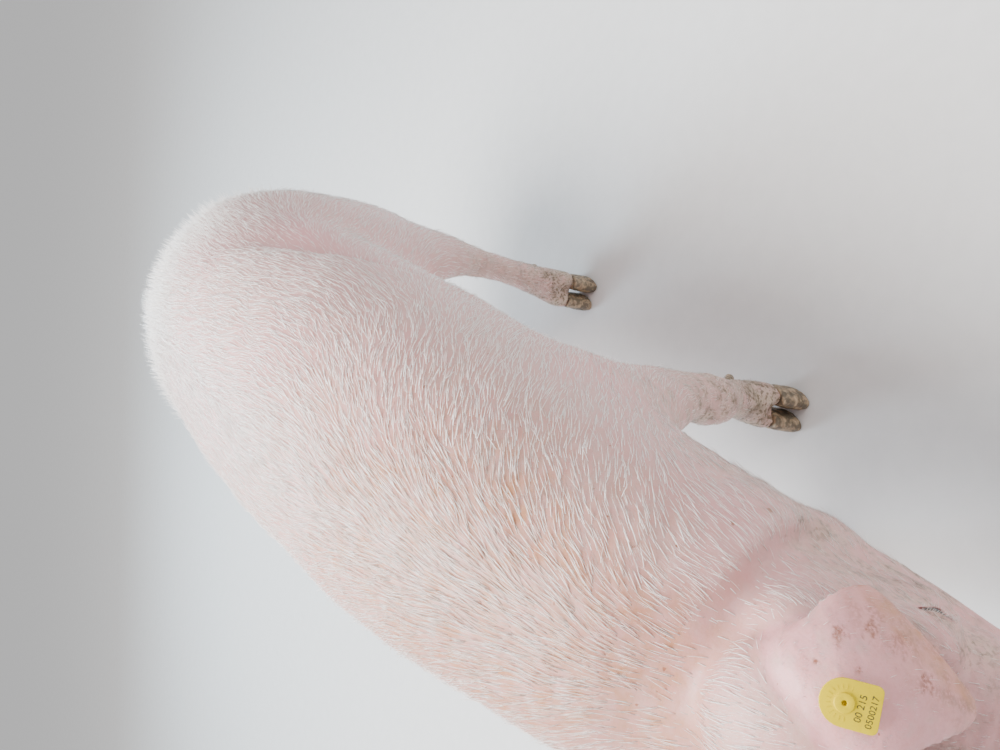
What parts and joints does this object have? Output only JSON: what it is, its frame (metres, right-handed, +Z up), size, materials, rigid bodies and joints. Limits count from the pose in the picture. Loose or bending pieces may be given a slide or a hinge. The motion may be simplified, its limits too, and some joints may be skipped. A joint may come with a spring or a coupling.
{
  "type": "domestic pig",
  "caption": "Life-size domestic pig standing in mid stride, lop-eared and long-backed, with cloven hooves, a curled tail and a yellow ear tag.",
  "frame": {"origin": "on the floor, below the middle of the whole animal's box", "axes": "+Z up, -Y from tail to head, +X towards the animal's left side"},
  "size_m": [0.394, 1.394, 0.7507],
  "materials": {
    "bristled_skin": "matte",
    "bare_skin": "satin",
    "horn": "matte",
    "eye": "gloss",
    "tag_plastic": "satin"
  },
  "bodies": {
    "root": {"claw_front_left_left": "horn", "claw_front_left_right": "horn", "claw_front_right_left": "horn", "claw_front_right_right": "horn", "claw_hind_left_left": "horn", "claw_hind_left_right": "horn", "claw_hind_right_left": "horn", "claw_hind_right_right": "horn", "dewclaw_front_left_left": "horn", "dewclaw_front_left_right": "horn", "dewclaw_front_right_left": "horn", "dewclaw_front_right_right": "horn", "dewclaw_hind_left_left": "horn", "dewclaw_hind_left_right": "horn", "dewclaw_hind_right_left": "horn", "dewclaw_hind_right_right": "horn", "ear_left": "bare_skin", "ear_right": "bare_skin", "ear_tag": "tag_plastic", "ear_tag_button": "tag_plastic", "eye_left": "eye", "eye_right": "eye", "head": "bristled_skin", "leg_front_left": "bristled_skin", "leg_front_right": "bristled_skin", "leg_hind_left": "bristled_skin", "leg_hind_right": "bristled_skin", "neck": "bristled_skin", "snout": "bare_skin", "tail": "bristled_skin", "torso": "bristled_skin"}
  },
  "joints": []
}
